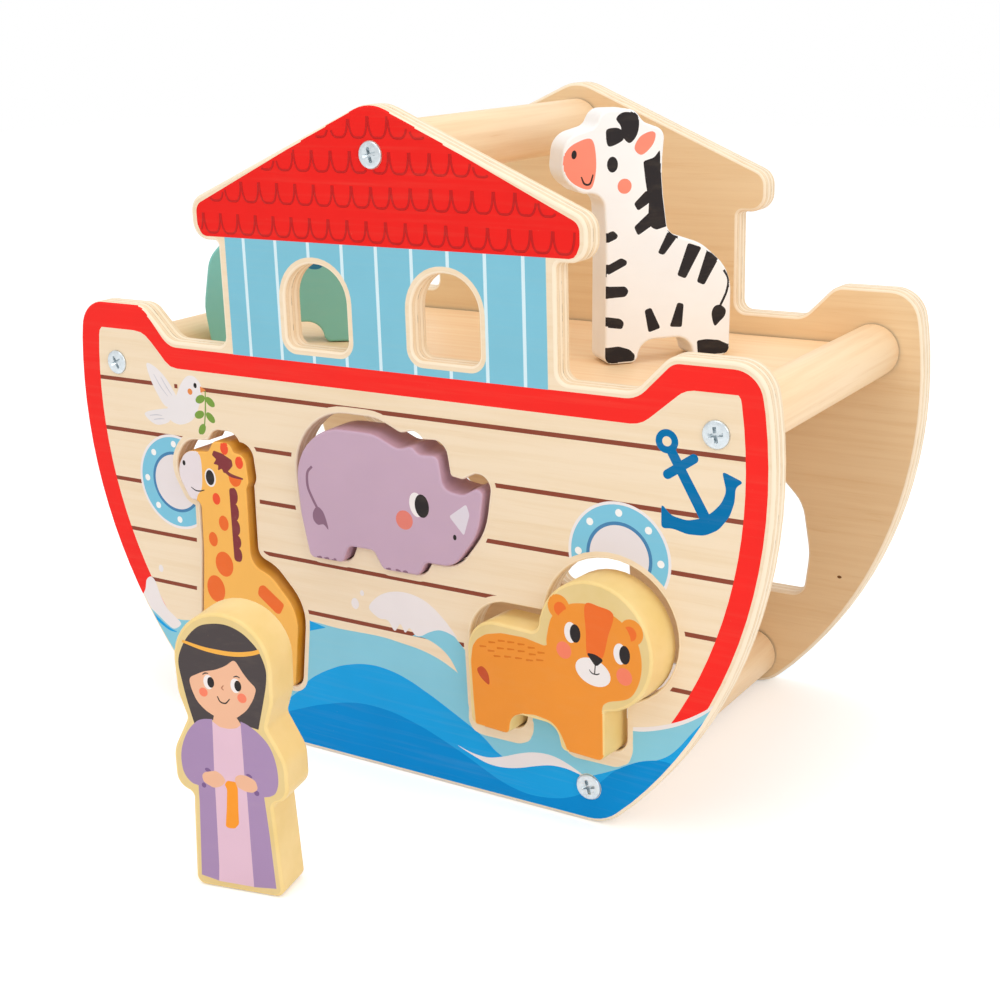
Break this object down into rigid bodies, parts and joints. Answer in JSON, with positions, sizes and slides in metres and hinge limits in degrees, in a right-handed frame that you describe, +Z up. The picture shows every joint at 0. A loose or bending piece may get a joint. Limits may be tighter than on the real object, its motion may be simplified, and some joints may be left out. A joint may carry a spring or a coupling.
{
  "type": "toy ark shape sorter",
  "caption": "Wooden toy ark with printed plywood sides, dowel frame and deck, and loose animal and person figures that fit matching holes in the sides.",
  "frame": {"origin": "on the floor, below the middle of the whole set's box", "axes": "+X along the ark towards the bow, +Y from the front panel to the back panel, +Z up"},
  "size_m": [0.289, 0.2468, 0.2386],
  "materials": {
    "plywood": "clear lacquered plywood, printed on the outer face",
    "beech": "clear lacquered solid wood",
    "zinc_steel": "bright zinc plated",
    "giraffe_paint": "satin paint",
    "rhino_paint": "satin paint",
    "lion_paint": "satin paint",
    "zebra_paint": "satin paint",
    "elephant_paint": "satin paint",
    "woman_paint": "satin paint"
  },
  "bodies": {
    "ark": {"front_panel": "plywood", "back_panel": "plywood", "deck_board": "beech", "deck_pins": "beech", "ridge_dowel": "beech", "bow_dowel": "beech", "stern_dowel": "beech", "keel_bow_dowel": "beech", "keel_stern_dowel": "beech", "front_screws": "zinc_steel", "back_screws": "zinc_steel"},
    "giraffe": {"giraffe": "giraffe_paint"},
    "rhino": {"rhino": "rhino_paint"},
    "lion": {"lion": "lion_paint"},
    "zebra": {"zebra": "zebra_paint"},
    "elephant": {"elephant": "elephant_paint"},
    "woman": {"woman": "woman_paint"}
  },
  "joints": [
    {"name": "giraffe_slide", "type": "slide", "parent": "ark", "child": "giraffe", "axis": [0, -1, 0], "range_m": [-0.03, 0.03]},
    {"name": "rhino_slide", "type": "slide", "parent": "ark", "child": "rhino", "axis": [0, -1, 0], "range_m": [-0.03, 0.03]},
    {"name": "lion_slide", "type": "slide", "parent": "ark", "child": "lion", "axis": [0, -1, 0], "range_m": [-0.03, 0.03]},
    {"name": "zebra_lift", "type": "slide", "parent": "ark", "child": "zebra", "axis": [0, 0, 1], "range_m": [0, 0.06]},
    {"name": "elephant_lift", "type": "slide", "parent": "ark", "child": "elephant", "axis": [0, 0, 1], "range_m": [0, 0.06]},
    {"name": "woman_lift", "type": "slide", "parent": "ark", "child": "woman", "axis": [0, 0, 1], "range_m": [0, 0.05]}
  ]
}
